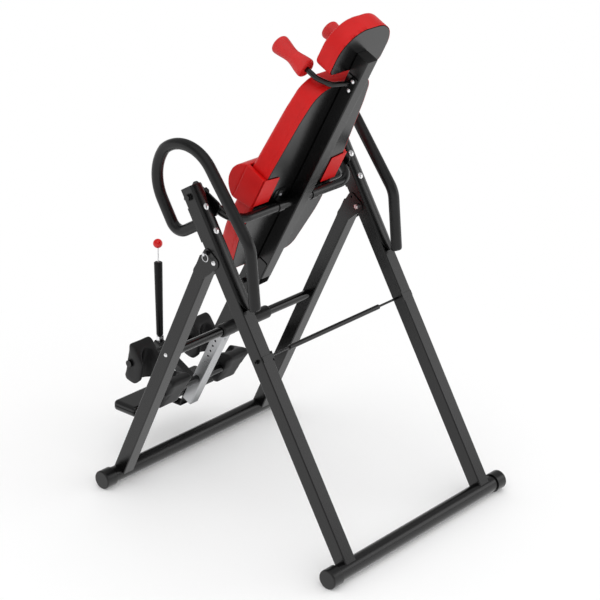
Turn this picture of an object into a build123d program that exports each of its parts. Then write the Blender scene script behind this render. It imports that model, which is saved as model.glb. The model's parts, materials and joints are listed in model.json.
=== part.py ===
"""Inversion table: a folding A-frame stand, a tilting padded bed and its ankle holders.

Millimetres. X runs across the machine, +Y to the head end and +Z up, and the floor is z = 0.
Every piece is drawn from the middle of the stand and moved at the end, so that the origin lies
under the middle of the whole machine. "left" is +X, the left hand of a person lying on the bed.
"""
from build123d import *
from math import atan2, asin, cos, degrees, hypot, radians, sin, sqrt, tan
import os

# ---------------------------------------------------------------- driving dimensions
# stand
SQUARE_TUBE = 50.0          # leg and spine tube, outside
TUBE_WALL = 2.0
LEG_X = 359.0               # middle of each leg across the machine
LEG_ROUND = 4.0             # corner radius of the leg tube
FLOOR_TUBE_D = 57.0
FLOOR_TUBE_WALL = 2.0
FLOOR_TUBE_Y = 510.0        # half the distance between the two floor tubes
FLOOR_TUBE_HALF = 462.0     # to the outer end of the foot caps
FOOT_CAP_R = 33.5
FOOT_CAP_LEN = 45.0
FOOT_CAP_INSERT = 25.0
FLOOR_TUBE_Z = 32.5         # the caps are ground flat where they stand
REAR_LEG_LEAN = 30.6
REAR_LEG_LEN = 1311.0
BRACE_Z = 650.0
BRACE_ROD_D = 8.0
BRACE_SLEEVE_D = 17.0
BRACE_SLEEVE_HALF = 228.0
# pivot and front leg hinge
PIVOT_BELOW = 29.2          # bed pivot, down the rear leg from its top end
PIVOT_AHEAD = 2.0           # and ahead of the rear leg's middle line
PIVOT_BOLT_D = 16.0
HINGE_BELOW = 251.4         # hinge bolt of the front leg, likewise
HINGE_AHEAD = 9.0
HINGE_TO_FRONT_LEG = 37.5   # front leg's middle line to the hinge bolt
HINGE_BOLT_D = 10.0
LOCK_BELOW = 214.0
LOCK_AHEAD = 18.0
LOCK_PIN_D = 8.0
FRONT_LEG_END_GAP = 19.0    # tube end, short of the hinge bolt, so that the leg can fold
CHEEK_T = 3.0
CHEEK_R = 21.0
CHEEK_LOCK_R = 15.0
CHEEK_LAP = 55.0            # the cheeks lap the front leg by this much and their end radius
# front cross tube
CROSS_ALONG = 577.3
CROSS_TUBE_D = 32.0
CROSS_SLEEVE_D = 46.8
CROSS_SLEEVE_HALF = 120.0
# side handles
HANDLE_TUBE_D = 25.0
HANDLE_FOAM_D = 39.0
HANDLE_TIP = 7.0            # rounding of the free end
HANDLE_REACH = 117.0        # first bend, out from the front of the leg
CREST_FRONT = 189.0         # corners of the loop, forward and up from the top end of the leg
CREST_LOW = 30.7
CREST_BACK = 9.3
CREST_HIGH = 207.0
TAIL_BACK = 253.1           # and those of its tail, behind and below that end
TAIL_BEND = 143.3
TAIL_END_BACK = 272.3
TAIL_END = 344.1
BEND_LEG = 44.0             # bend radii, from the leg to the tail
BEND_FRONT = 150.0
BEND_CREST = 140.0
BEND_TAIL = 90.0
SADDLE_BOLT_TOP = 77.0      # its two bolts, down from the top end of the leg
SADDLE_BOLT_LOW = 159.2
SADDLE_LEN = 429.0
SADDLE_TONGUE = 64.0
SADDLE_T = 2.5
SADDLE_RISE = 7.0
SADDLE_SEAT = 1.2           # depth of the pressed seat under each bolt head
# bed, in its own frame: X across, Y behind the pivot, Z along the bed to the head
BED_LEAN = 28.0
SPINE_FRONT = 120.0
SPINE_TOP = 590.0
SPINE_BELOW_GUIDE = 6.0     # the spine's rear wall ends this far below the top of the guide
BOARD_T = 14.0
PAD_T = 66.0
BOARD_TOP = 469.0
BOARD_BOTTOM = -305.0
BOARD_HALF_TOP = 128.0
BOARD_HALF_HIGH = 157.0     # half width at the shoulders
BOARD_HIGH_AT = 344.0
BOARD_HALF_WIDE = 190.0
BOARD_HALF_LOW = 152.0
UBAR_D = 32.0
UBAR_Z = -18.0
UBAR_BEND = 79.0
UBAR_X = 303.0
UBAR_END = 28.0             # front end of the bar, behind the pivot
ARM_T = 6.0
ARM_TALL = 57.0
ARM_FRONT = -45.0           # ends of the hinge arm, ahead of and behind the pivot
ARM_BACK = 84.0
SPINE_RELIEF = 38.0         # notch in the spine's front wall that the height bar rises into
# height bar and its guide
BAR_SIDE = 42.0
BAR_Y = 113.0
BAR_BELOW_RAIL = 72.0       # lower end of the bar, below the middle line of the rail
GUIDE_DEEP = 60.0
GUIDE_BACK = 145.0
GUIDE_TOP = -346.0
GUIDE_BOTTOM = -655.0
HOLE_PITCH = 25.4
HEIGHT_PIN_Z = -408.0
HEIGHT_PIN_D = 8.0
# ankle holders
REAR_AXLE_RISE = 42.0       # axles, above the middle line of the rail
FRONT_AXLE_RISE = 32.0
FRONT_AXLE_Y = -59.0
AXLE_D = 22.0
CUP_X = 148.0
CUP_W = 96.0
CUP_H = 150.0
CUP_D = 79.0
CUP_GROOVE_R = 39.0
CUP_WEB = 38.0
FRONT_CUP_TILT = 16.0
REAR_CUP_TILT = -6.0
RAIL_SIDE = 30.0
RAIL_Z = -950.0
RAIL_END = -112.0
RAIL_PITCH = 10.0
CARRIAGE_LEN = 68.0
CARRIAGE_Y = -74.0
LEVER_AHEAD = 17.5          # lever post, ahead of the middle of the carriage
GRIP_RISE = 53.2            # lower end of the grip, above the middle of the carriage
GRIP_LEN = 282.0
BALL_RISE = 70.0            # red ball, above the grip
BALL_R = 17.0
# foot plate, level when the bed stands up
PLATE_HALF = 212.0
PLATE_DEEP = 112.0
PLATE_AHEAD = 70.0          # its back edge, ahead of the lower end of the height bar
PLATE_RISE = 10.6           # its top, above that end
PLATE_T = 40.0
PLATE_ROUND = 15.0
# clearances
RUNNING = 0.08              # radial, shaft in bush
SLIDING = 0.3
GAP = 0.4

# ---------------------------------------------------------------- worked-out geometry
HALF_TUBE = SQUARE_TUBE / 2
B = radians(REAR_LEG_LEAN)


def on_rear_leg(along, ahead=0.0):
    """Y and Z of a point along the rear leg's middle line, and ahead of it."""
    y = FLOOR_TUBE_Y - along * sin(B) - ahead * cos(B)
    z = FLOOR_TUBE_Z + along * cos(B) - ahead * sin(B)
    return y, z


LEG_TOP = Pos(0, *on_rear_leg(REAR_LEG_LEN))
PIVOT_Y, PIVOT_Z = on_rear_leg(REAR_LEG_LEN - PIVOT_BELOW, PIVOT_AHEAD)
HINGE = on_rear_leg(REAR_LEG_LEN - HINGE_BELOW, HINGE_AHEAD)
LOCK = on_rear_leg(REAR_LEG_LEN - LOCK_BELOW, LOCK_AHEAD)
SADDLE_BOLTS = (REAR_LEG_LEN - SADDLE_BOLT_LOW, REAR_LEG_LEN - SADDLE_BOLT_TOP)
SADDLE_BOTTOM = REAR_LEG_LEN - SADDLE_LEN
to_hinge = hypot(HINGE[0] + FLOOR_TUBE_Y, HINGE[1] - FLOOR_TUBE_Z)
A = atan2(HINGE[0] + FLOOR_TUBE_Y, HINGE[1] - FLOOR_TUBE_Z) - asin(HINGE_TO_FRONT_LEG / to_hinge)
FRONT_LEG_LEAN = degrees(A)
FRONT_LEG_LEN = sqrt(to_hinge ** 2 - HINGE_TO_FRONT_LEG ** 2) - FRONT_LEG_END_GAP

FLOOR_REAR = Location((0, FLOOR_TUBE_Y, FLOOR_TUBE_Z))
FLOOR_FRONT = Location((0, -FLOOR_TUBE_Y, FLOOR_TUBE_Z))
BED = Location((0, PIVOT_Y, PIVOT_Z), (-BED_LEAN, 0, 0))
BOARD_FRONT = SPINE_FRONT - BOARD_T
PAD_FRONT = BOARD_FRONT - PAD_T
UBAR_Y = SPINE_FRONT + 3.0 + UBAR_D / 2
ARM_X = UBAR_X + UBAR_D / 2
FRONT_LEG_W = SQUARE_TUBE + 2 * GAP
LEG_OUT = LEG_X + HALF_TUBE
SPINE_BOTTOM = GUIDE_TOP - SPINE_BELOW_GUIDE
BAR_BOTTOM = RAIL_Z - BAR_BELOW_RAIL
REAR_AXLE_Z = RAIL_Z + REAR_AXLE_RISE
FRONT_AXLE_Z = RAIL_Z + FRONT_AXLE_RISE
CARRIAGE_MIDDLE = (BED * Pos(0, CARRIAGE_Y, RAIL_Z)).position
LEVER_Y = CARRIAGE_MIDDLE.Y - LEVER_AHEAD
GRIP_BOTTOM = CARRIAGE_MIDDLE.Z + GRIP_RISE
GRIP_TOP = GRIP_BOTTOM + GRIP_LEN
BALL_Z = GRIP_TOP + BALL_RISE
BAR_END = (BED * Pos(0, BAR_Y, BAR_BOTTOM)).position
PLATE_TOP = BAR_END.Z + PLATE_RISE
PLATE_BACK = BAR_END.Y - PLATE_AHEAD
PLATE_FRONT = PLATE_BACK - PLATE_DEEP
ORIGIN_Y = (PLATE_FRONT + FLOOR_TUBE_Y + FOOT_CAP_R) / 2


def rear_leg_frame(side, along=0.0):
    """Frame on a rear leg: Z runs up the leg and Y points behind it."""
    y, z = on_rear_leg(along)
    return Location((side * LEG_X, y, z), (REAR_LEG_LEAN, 0, 0))


def front_leg_frame(side, along=0.0):
    """Frame on a front leg: Z runs up the leg and Y points to the rear leg."""
    y = -FLOOR_TUBE_Y + along * sin(A)
    z = FLOOR_TUBE_Z + along * cos(A)
    return Location((side * LEG_X, y, z), (-FRONT_LEG_LEAN, 0, 0))


def rod_x(radius, x0, x1, y=0.0, z=0.0):
    """Round bar along X between two stations."""
    return Pos((x0 + x1) / 2, y, z) * Rot(0, 90, 0) * Cylinder(radius, abs(x1 - x0))


def pipe_x(radius, bore, x0, x1, y=0.0, z=0.0):
    """Round tube along X between two stations."""
    return rod_x(radius, x0, x1, y, z) - rod_x(bore, x0 - 1, x1 + 1, y, z)


def box(x0, x1, y0, y1, z0, z1):
    """Box between two corners."""
    return Pos((x0 + x1) / 2, (y0 + y1) / 2, (z0 + z1) / 2) * Box(x1 - x0, y1 - y0, z1 - z0)


def square_tube(width, depth, wall, z0, z1, corner):
    """Rectangular tube along Z with rounded corners."""
    outer = RectangleRounded(width, depth, corner)
    inner = RectangleRounded(width - 2 * wall, depth - 2 * wall, max(corner - wall, 0.5))
    return Pos(0, 0, z0) * extrude(outer - inner, z1 - z0)


def dome_bolt(head_r, head_h, shank_r, shank_len):
    """Dome-headed bolt: the seat of its head is z = 0 and its shank runs down."""
    ball_r = (head_r ** 2 + head_h ** 2) / (2 * head_h)
    ball = Pos(0, 0, head_h - ball_r) * Sphere(ball_r)
    head = ball & (Pos(0, 0, head_h / 2) * Cylinder(head_r, head_h))
    return head + Pos(0, 0, -shank_len / 2) * Cylinder(shank_r, shank_len)


def hex_nut(across, height, bore):
    """Hexagon nut standing on z = 0."""
    body = extrude(RegularPolygon(across / 2, 6, major_radius=False), height)
    return body - Pos(0, 0, height / 2) * Cylinder(bore, height + 2)


def both(make):
    """The same piece on both sides, as two separate solids."""
    return Compound(children=[make(1), make(-1)])


def save(node, shape):
    """One STEP per node, its solids side by side."""
    solids = [Pos(0, -ORIGIN_Y, 0) * solid for solid in shape.solids()]
    body = solids[0] if len(solids) == 1 else Compound(children=solids)
    body.label = node
    export_step(body, os.path.join("parts", node + ".step"))


# ---------------------------------------------------------------- floor tubes and feet
def floor_tube():
    half = FLOOR_TUBE_HALF - FOOT_CAP_LEN + FOOT_CAP_INSERT
    return pipe_x(FLOOR_TUBE_D / 2, FLOOR_TUBE_D / 2 - FLOOR_TUBE_WALL, -half, half)


def foot_cap(side):
    """Push-on cap: closed outer end, round lip and a small flat where it stands."""
    inner = FLOOR_TUBE_HALF - FOOT_CAP_LEN
    cap = rod_x(FOOT_CAP_R, inner, FLOOR_TUBE_HALF)
    rims = cap.edges().filter_by(GeomType.CIRCLE).sort_by(Axis.X)
    cap = fillet(rims[-1], 5.0)
    cap -= rod_x(FLOOR_TUBE_D / 2, inner - 1, inner + FOOT_CAP_INSERT)
    cap -= box(inner - 1, FLOOR_TUBE_HALF + 1, -40, 40, -60, -FLOOR_TUBE_Z)
    return cap if side > 0 else mirror(cap, Plane.YZ)


# ---------------------------------------------------------------- rear stand
def rear_leg(side):
    """Square tube coped onto the floor tube, with its pivot, hinge and bolt holes."""
    leg = square_tube(SQUARE_TUBE, SQUARE_TUBE, TUBE_WALL, 0, REAR_LEG_LEN, LEG_ROUND)
    for along in SADDLE_BOLTS:
        leg -= Pos(0, 0, along) * Rot(90, 0, 0) * Cylinder(5, 2 * SQUARE_TUBE)
    slot = Pos(0, HALF_TUBE, SADDLE_BOTTOM + SADDLE_TONGUE / 2)
    leg -= slot * Box(SQUARE_TUBE - 10, 3 * TUBE_WALL, SADDLE_TONGUE + 4)
    leg = rear_leg_frame(side) * leg
    leg -= FLOOR_REAR * rod_x(FLOOR_TUBE_D / 2, -FLOOR_TUBE_HALF, FLOOR_TUBE_HALF)
    holes = (PIVOT_Y, PIVOT_Z, PIVOT_BOLT_D / 2), (*HINGE, HINGE_BOLT_D / 2), (*LOCK, LOCK_PIN_D / 2 + GAP)
    for y, z, r in holes:
        leg -= rod_x(r, side * (LEG_X - 40), side * (LEG_X + 40), y, z)
    y = on_rear_leg((BRACE_Z - FLOOR_TUBE_Z) / cos(B))[0]
    leg -= rod_x(BRACE_ROD_D / 2, side * (LEG_X - 40), side * (LEG_X + 40), y, BRACE_Z)
    return leg


def leg_plug(side):
    """Plastic plug that closes the top of a rear leg."""
    inner = SQUARE_TUBE - 2 * TUBE_WALL
    plug = extrude(RectangleRounded(SQUARE_TUBE, SQUARE_TUBE, LEG_ROUND), 3)
    plug += Pos(0, 0, -12) * extrude(RectangleRounded(inner, inner, 2), 12)
    return rear_leg_frame(side, REAR_LEG_LEN) * plug


def brace_y():
    return on_rear_leg((BRACE_Z - FLOOR_TUBE_Z) / cos(B))[0]


def brace_rod():
    """Rod between the rear legs, through both, with a nut on each outer face."""
    end = LEG_OUT + 12
    rod = rod_x(BRACE_ROD_D / 2, -end, end)
    for side in (1, -1):
        nut = Rot(0, side * 90, 0) * hex_nut(13, 6.5, BRACE_ROD_D / 2 - 0.2)
        rod += Pos(side * LEG_OUT, 0, 0) * nut
    return Pos(0, brace_y(), BRACE_Z) * rod


def brace_clip(side):
    """Bent strap that wraps the inner and rear faces of a rear leg where the brace meets it."""
    clip = box(-HALF_TUBE - 3, -HALF_TUBE, -20, HALF_TUBE + 3, -16, 16)
    clip += box(-HALF_TUBE - 3, HALF_TUBE - 4, HALF_TUBE, HALF_TUBE + 3, -9, 9)
    if side < 0:
        clip = mirror(clip, Plane.YZ)
    clip = rear_leg_frame(side, (BRACE_Z - FLOOR_TUBE_Z) / cos(B)) * clip
    return clip - rod_x(BRACE_ROD_D / 2, side * (LEG_X - 40), side * (LEG_X + 40), brace_y(), BRACE_Z)


# ---------------------------------------------------------------- side handles
HANDLE_ALONG = sum(SADDLE_BOLTS) / 2
FLANGE_T = 4.0


def handle_route(past=0.0):
    """Middle line of a handle, from the top end of its leg: out of the leg, up, over and down behind."""
    near, far = HALF_TUBE + FLANGE_T, HALF_TUBE + FLANGE_T + HANDLE_REACH
    down = REAR_LEG_LEN - HANDLE_ALONG
    foot = down * sin(B) - near * cos(B), -down * cos(B) - near * sin(B)
    corner = down * sin(B) - far * cos(B), -down * cos(B) - far * sin(B)
    crest = (-CREST_FRONT, CREST_LOW), (-CREST_BACK, CREST_HIGH)
    back, drop = TAIL_END_BACK - TAIL_BACK, TAIL_END - TAIL_BEND
    reach = 1 + past / hypot(back, drop)
    tail = (TAIL_BACK, -TAIL_BEND), (TAIL_BACK + reach * back, -TAIL_BEND - reach * drop)
    with BuildLine(Plane.YZ) as route:
        FilletPolyline(foot, corner, *crest, *tail, radius=(BEND_LEG, BEND_FRONT, BEND_CREST, BEND_TAIL))
    return route.line


def handle_section(route, radius):
    return Plane(origin=route @ 0, z_dir=route % 0) * Circle(radius)


def handle_tube(side):
    """Bent steel tube, welded to a flange that the two saddle bolts hold to the leg."""
    route = handle_route()
    tube = sweep(handle_section(route, HANDLE_TUBE_D / 2), path=route)
    tube -= sweep(handle_section(route, HANDLE_TUBE_D / 2 - TUBE_WALL), path=route)
    seat = sweep(handle_section(route, HANDLE_TUBE_D / 2), path=route)
    flange = Box(46, FLANGE_T, 116) - Rot(90, 0, 0) * Cylinder(HANDLE_TUBE_D / 2, 20)
    for along in SADDLE_BOLTS:
        flange -= Pos(0, 0, along - HANDLE_ALONG) * Rot(90, 0, 0) * Cylinder(5, 20)
    flange = rear_leg_frame(0, HANDLE_ALONG) * Pos(0, -HALF_TUBE - FLANGE_T / 2, 0) * flange
    return Pos(side * LEG_X, 0, 0) * (LEG_TOP * tube + (flange - LEG_TOP * seat))


def handle_foam(side):
    """Foam sleeve over the whole handle, closed and rounded at its free end."""
    route = handle_route(HANDLE_TIP + 1)
    foam = sweep(handle_section(route, HANDLE_FOAM_D / 2), path=route)
    tip = foam.edges().filter_by(GeomType.CIRCLE).sort_by(Axis.Z)[0]
    foam = fillet(tip, HANDLE_TIP)
    route = handle_route()
    foam = LEG_TOP * (foam - sweep(handle_section(route, HANDLE_TUBE_D / 2), path=route))
    foam -= rear_leg_frame(0, HANDLE_ALONG) * Box(60, SQUARE_TUBE + 2 * FLANGE_T, 130)
    return Pos(side * LEG_X, 0, 0) * foam


def saddle(side):
    """Convex pressed plate on the back of a rear leg, ending in a rounded tongue."""
    half = HALF_TUBE
    bulge = (half ** 2 + SADDLE_RISE ** 2) / (2 * SADDLE_RISE)
    height = REAR_LEG_LEN - SADDLE_BOTTOM
    shell = Pos(0, HALF_TUBE + SADDLE_RISE - bulge, 0) * extrude(Circle(bulge), height)
    shell -= Pos(0, HALF_TUBE + SADDLE_RISE - bulge, 0) * extrude(Circle(bulge - SADDLE_T), height)
    shell &= box(-half, half, HALF_TUBE, HALF_TUBE + SADDLE_RISE + 1, 0, height)
    tongue = Pos(0, 0, SADDLE_TONGUE) * (Rot(90, 0, 0) * extrude(Ellipse(half, SADDLE_TONGUE), 200, both=True))
    shell &= tongue + box(-half, half, -90, 90, SADDLE_TONGUE, height)
    shell = shell.solids().sort_by(SortBy.VOLUME)[-1]
    for along in SADDLE_BOLTS:
        shell -= Pos(0, 0, along - SADDLE_BOTTOM) * Rot(90, 0, 0) * Cylinder(5, 200)
        seat = Pos(0, HALF_TUBE + SADDLE_RISE, along - SADDLE_BOTTOM)
        shell -= seat * Rot(90, 0, 0) * Cylinder(11, 2 * SADDLE_SEAT)
    return rear_leg_frame(side, SADDLE_BOTTOM) * shell


def saddle_bolts():
    """Two long dome bolts a side, from the saddle through the leg to the handle's flange."""
    solids = []
    for side in (1, -1):
        for along in SADDLE_BOLTS:
            length = SQUARE_TUBE + SADDLE_RISE + FLANGE_T + 10
            bolt = Pos(0, HALF_TUBE + SADDLE_RISE, 0) * Rot(-90, 0, 0) * dome_bolt(11, 5.5, 5, length)
            bolt += Pos(0, HALF_TUBE + SADDLE_RISE - SADDLE_SEAT / 2, 0) * Rot(90, 0, 0) * Cylinder(11, SADDLE_SEAT)
            nut = Pos(0, -HALF_TUBE - FLANGE_T, 0) * Rot(90, 0, 0) * hex_nut(17, 8, 4.9)
            solids.append(rear_leg_frame(side, along) * (bolt + nut))
    return Compound(children=solids)


# ---------------------------------------------------------------- pivot
def pivot_bolt(side):
    """Bolt through the rear leg that carries the bed's arm, with a spacer and a nut."""
    head = LEG_OUT
    inner = ARM_X - 22
    bolt = rod_x(PIVOT_BOLT_D / 2, inner, head)
    bolt += rod_x(12.5, head, head + 2)
    cap = Pos(head + 2, 0, 0) * Rot(0, 90, 0) * extrude(RegularPolygon(12, 6), 9)
    bolt += cap
    nut = pipe_x(14, PIVOT_BOLT_D / 2, ARM_X - 5.5, ARM_X - 3.5)
    nut += Pos(ARM_X - 17, 0, 0) * Rot(0, 90, 0) * hex_nut(24, 11.5, PIVOT_BOLT_D / 2)
    bolt = Pos(0, PIVOT_Y, PIVOT_Z) * (bolt + nut)
    return bolt if side > 0 else mirror(bolt, Plane.YZ)


def pivot_spacer(side):
    start = ARM_X + ARM_T + SLIDING
    spacer = pipe_x(13, PIVOT_BOLT_D / 2, start, LEG_X - HALF_TUBE, PIVOT_Y, PIVOT_Z)
    return spacer if side > 0 else mirror(spacer, Plane.YZ)


# ---------------------------------------------------------------- front stand
def front_leg(side):
    """Square tube that ends below the hinge, so that it can fold back onto the rear leg."""
    leg = square_tube(FRONT_LEG_W, SQUARE_TUBE, TUBE_WALL, 0, FRONT_LEG_LEN, LEG_ROUND)
    leg = front_leg_frame(side) * leg
    leg -= FLOOR_FRONT * rod_x(FLOOR_TUBE_D / 2, -FLOOR_TUBE_HALF, FLOOR_TUBE_HALF)
    y, z = cross_point()
    leg -= rod_x(CROSS_TUBE_D / 2, side * (LEG_X - 40), side * (LEG_X - 20), y, z)
    return leg - rod_x(4.1, side * (LEG_X), side * (LEG_X + 40), y, z)


def cross_point():
    where = front_leg_frame(0, CROSS_ALONG).position
    return where.Y, where.Z


def cheek(side, face):
    """Hinge cheek welded to one face of a front leg; it reaches over the rear leg."""
    knee = front_leg_frame(0, FRONT_LEG_LEN - CHEEK_LAP).position
    with BuildSketch(Plane.YZ) as outline:
        with BuildLine():
            for y, z, r in ((*HINGE, CHEEK_R), (*LOCK, CHEEK_LOCK_R), (knee.Y, knee.Z, HALF_TUBE - 1)):
                CenterArc((y, z), r, 0, 360)
        make_hull()
    start = side * LEG_X + face * FRONT_LEG_W / 2
    plate = Pos(start, 0, 0) * extrude(outline.sketch, face * CHEEK_T)
    low, high = sorted((start - 5, start + 5))
    plate -= rod_x(HINGE_BOLT_D / 2 + RUNNING, low, high, *HINGE)
    plate -= rod_x(LOCK_PIN_D / 2 + RUNNING, low, high, *LOCK)
    return plate


def hinge_bolt(side):
    """Dome bolt and nut that the front leg turns on; it is fast in the rear leg."""
    reach = FRONT_LEG_W / 2 + CHEEK_T + SLIDING
    bolt = Rot(0, 90, 0) * dome_bolt(8.5, 5, HINGE_BOLT_D / 2, 2 * reach + 10)
    nut = Pos(-2 * reach - 8, 0, 0) * Rot(0, 90, 0) * hex_nut(16, 8, HINGE_BOLT_D / 2 - 0.1)
    pin = Pos(LEG_X + reach, *HINGE) * (bolt + nut)
    return pin if side > 0 else mirror(pin, Plane.YZ)


def cross_tube():
    half = LEG_X - HALF_TUBE + TUBE_WALL
    y, z = cross_point()
    return pipe_x(CROSS_TUBE_D / 2, CROSS_TUBE_D / 2 - TUBE_WALL, -half, half, y, z)


def cross_sleeve():
    """Foam roll that the upright bed leans on."""
    y, z = cross_point()
    roll = rod_x(CROSS_SLEEVE_D / 2, -CROSS_SLEEVE_HALF, CROSS_SLEEVE_HALF)
    roll = fillet(roll.edges().filter_by(GeomType.CIRCLE), 5.0)
    roll -= rod_x(CROSS_TUBE_D / 2, -200, 200)
    return Pos(0, y, z) * roll


def cross_bolt(side):
    """Dome bolt and captive plug that hold one end of the cross tube."""
    y, z = cross_point()
    outer = LEG_X + FRONT_LEG_W / 2
    bolt = Pos(outer, 0, 0) * Rot(0, 90, 0) * dome_bolt(7.5, 4.5, 4, FRONT_LEG_W + 12)
    plug_end = LEG_X - FRONT_LEG_W / 2 + TUBE_WALL
    bolt += rod_x(CROSS_TUBE_D / 2 - TUBE_WALL, plug_end - 18, plug_end - 6)
    bolt = Pos(0, y, z) * bolt
    return bolt if side > 0 else mirror(bolt, Plane.YZ)


# ---------------------------------------------------------------- lock pins of the fold
LOCK_TRAVEL = 4.5


def lock_pin(side):
    """Spring pin in the outer cheek, drawn back so that its nose is flush with the cheek."""
    face = LEG_X + FRONT_LEG_W / 2
    nose = face + 0.3
    pin = rod_x(LOCK_PIN_D / 2, nose, face + CHEEK_T + 13)
    pin += rod_x(5.5, face + CHEEK_T + 13, face + CHEEK_T + 18)
    pin = Pos(0, *LOCK) * pin
    return pin if side > 0 else mirror(pin, Plane.YZ)


def lock_ring(side):
    """Pull ring, hanging flat beside the leg from the pin's head."""
    x = LEG_X + FRONT_LEG_W / 2 + CHEEK_T + 15.5
    ring = Pos(x, LOCK[0] + 6, LOCK[1] - 10) * Rot(0, 90, 0) * Torus(12.5, 1.4)
    ring -= Pos(0, *LOCK) * rod_x(5.5, x - 5, x + 5)
    return ring if side > 0 else mirror(ring, Plane.YZ)


def lock_boss(side):
    """Short guide tube welded to the cheek round the lock pin."""
    start = LEG_X + FRONT_LEG_W / 2 + CHEEK_T
    boss = pipe_x(8, LOCK_PIN_D / 2 + RUNNING, start, start + 8, *LOCK)
    return boss if side > 0 else mirror(boss, Plane.YZ)


# ---------------------------------------------------------------- bed frame
def spine_tube():
    tube = square_tube(SQUARE_TUBE, SQUARE_TUBE, TUBE_WALL, SPINE_BOTTOM, SPINE_TOP, LEG_ROUND)
    tube = Pos(0, SPINE_FRONT + HALF_TUBE, 0) * tube
    room = BAR_Y + BAR_SIDE / 2 + 2
    half = BAR_SIDE / 2 + 2
    tube -= box(-half, half, SPINE_FRONT - 1, room, SPINE_BOTTOM - 1, SPINE_BOTTOM + SPINE_RELIEF)
    tube -= box(-HALF_TUBE - 1, HALF_TUBE + 1, SPINE_FRONT - 1, GUIDE_BACK + GAP, SPINE_BOTTOM - 1, GUIDE_TOP + GAP)
    for z in NECK_BOLTS:
        tube -= rod_x(4.1, -60, 60, NECK_Y, z)
    return BED * tube


def spine_plug():
    inner = SQUARE_TUBE - 2 * TUBE_WALL
    plug = extrude(RectangleRounded(SQUARE_TUBE, SQUARE_TUBE, LEG_ROUND), 3)
    plug = fillet(plug.faces().sort_by(Axis.Z)[-1].edges(), 1.2)
    plug += Pos(0, 0, -12) * extrude(RectangleRounded(inner, inner, 2), 12)
    return BED * Pos(0, SPINE_FRONT + HALF_TUBE, SPINE_TOP) * plug


def ubar(side):
    """Half of the bent bar across the back of the board: out from the spine, then forward."""
    start = HALF_TUBE
    with BuildLine(Plane.XY) as route:
        FilletPolyline((start, UBAR_Y), (UBAR_X, UBAR_Y), (UBAR_X, UBAR_END), radius=UBAR_BEND)
    section = Plane(origin=route.line @ 0, z_dir=route.line % 0)
    bar = sweep(section * Circle(UBAR_D / 2), path=route.line)
    bar -= sweep(section * Circle(UBAR_D / 2 - TUBE_WALL), path=route.line)
    bar = Pos(0, 0, UBAR_Z) * bar
    bar = bar if side > 0 else mirror(bar, Plane.YZ)
    return BED * bar


def arm(side):
    """Flat hinge arm welded to the bar's end, with the pivot bush pressed in it."""
    outline = Pos((ARM_BACK + ARM_FRONT) / 2, 0) * RectangleRounded(ARM_BACK - ARM_FRONT, ARM_TALL, 14)
    plate = Plane.YZ * Pos(0, -9.5) * outline
    plate = Pos(ARM_X, 0, 0) * extrude(plate, ARM_T)
    plate -= rod_x(PIVOT_BOLT_D / 2 + RUNNING, ARM_X - 5, ARM_X + ARM_T + 5)
    bush = pipe_x(14, PIVOT_BOLT_D / 2 + RUNNING, ARM_X - 3.2, ARM_X)
    plate += bush
    return BED * (plate if side > 0 else mirror(plate, Plane.YZ))


def clamp(side):
    """Strap over the bar, on a base plate against the board."""
    outer = UBAR_D / 2 + 3
    strap = rod_x(outer, -12, 12, UBAR_Y, UBAR_Z) + box(-12, 12, SPINE_FRONT + 3, UBAR_Y, UBAR_Z - outer, UBAR_Z + outer)
    strap -= rod_x(UBAR_D / 2, -20, 20, UBAR_Y, UBAR_Z)
    strap -= box(-20, 20, SPINE_FRONT, UBAR_Y, UBAR_Z - UBAR_D / 2, UBAR_Z + UBAR_D / 2)
    strap &= box(-20, 20, SPINE_FRONT + 3, 300, UBAR_Z - 80, UBAR_Z + 80)
    for sign in (1, -1):
        low, high = sorted((UBAR_Z + sign * (UBAR_D / 2), UBAR_Z + sign * 58))
        strap += box(-12, 12, SPINE_FRONT + 3, SPINE_FRONT + 6, low, high)
        strap -= Pos(0, SPINE_FRONT, UBAR_Z + sign * CLAMP_BOLT) * Rot(90, 0, 0) * Cylinder(4, 40)
    return BED * Pos(side * CLAMP_X, 0, 0) * strap


def clamp_base(side):
    plate = extrude(RectangleRounded(52, 124, 8), 3)
    for sign in (1, -1):
        plate -= Pos(0, sign * CLAMP_BOLT, 0) * Cylinder(4, 40)
    plate = Pos(0, SPINE_FRONT + 3, UBAR_Z) * Rot(90, 0, 0) * plate
    return BED * Pos(side * CLAMP_X, 0, 0) * plate


CLAMP_X = 83.0
CLAMP_BOLT = 40.0
NECK_BOLTS = (470.0, 505.0)
NECK_Y = 152.0


def clamp_bolts():
    solids = []
    for side in (1, -1):
        for sign in (1, -1):
            where = Pos(side * CLAMP_X, SPINE_FRONT + 6, UBAR_Z + sign * CLAMP_BOLT)
            solids.append(BED * where * Rot(-90, 0, 0) * dome_bolt(6.5, 4, 4, 6.0))
    return Compound(children=solids)


# ---------------------------------------------------------------- board and cushions
def board_outline(inset=0.0):
    """Tapered board: narrow rounded top, widest at the waist, round lower corners."""
    with BuildSketch() as plan:
        with BuildLine():
            right = [(0, BOARD_TOP - inset), (BOARD_HALF_TOP - inset, BOARD_TOP - inset)]
            right += [(BOARD_HALF_HIGH - inset, BOARD_HIGH_AT)]
            right += [(BOARD_HALF_WIDE - inset, 100), (BOARD_HALF_WIDE + 4 - inset, -130)]
            right += [(BOARD_HALF_LOW - inset, BOARD_BOTTOM + inset), (0, BOARD_BOTTOM + inset)]
            side = FilletPolyline(*right, radius=(80, 250, 300, 300, 44))
            mirror(side, about=Plane.YZ)
        make_face()
    return plan.sketch


def board():
    plate = extrude(board_outline(2.0), BOARD_T)
    plate = fillet(plate.faces().sort_by(Axis.Z)[-1].edges(), 2.0)
    plate = Pos(0, BOARD_FRONT, 0) * Rot(90, 0, 0) * mirror(plate, Plane.XY)
    return BED * plate


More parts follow.
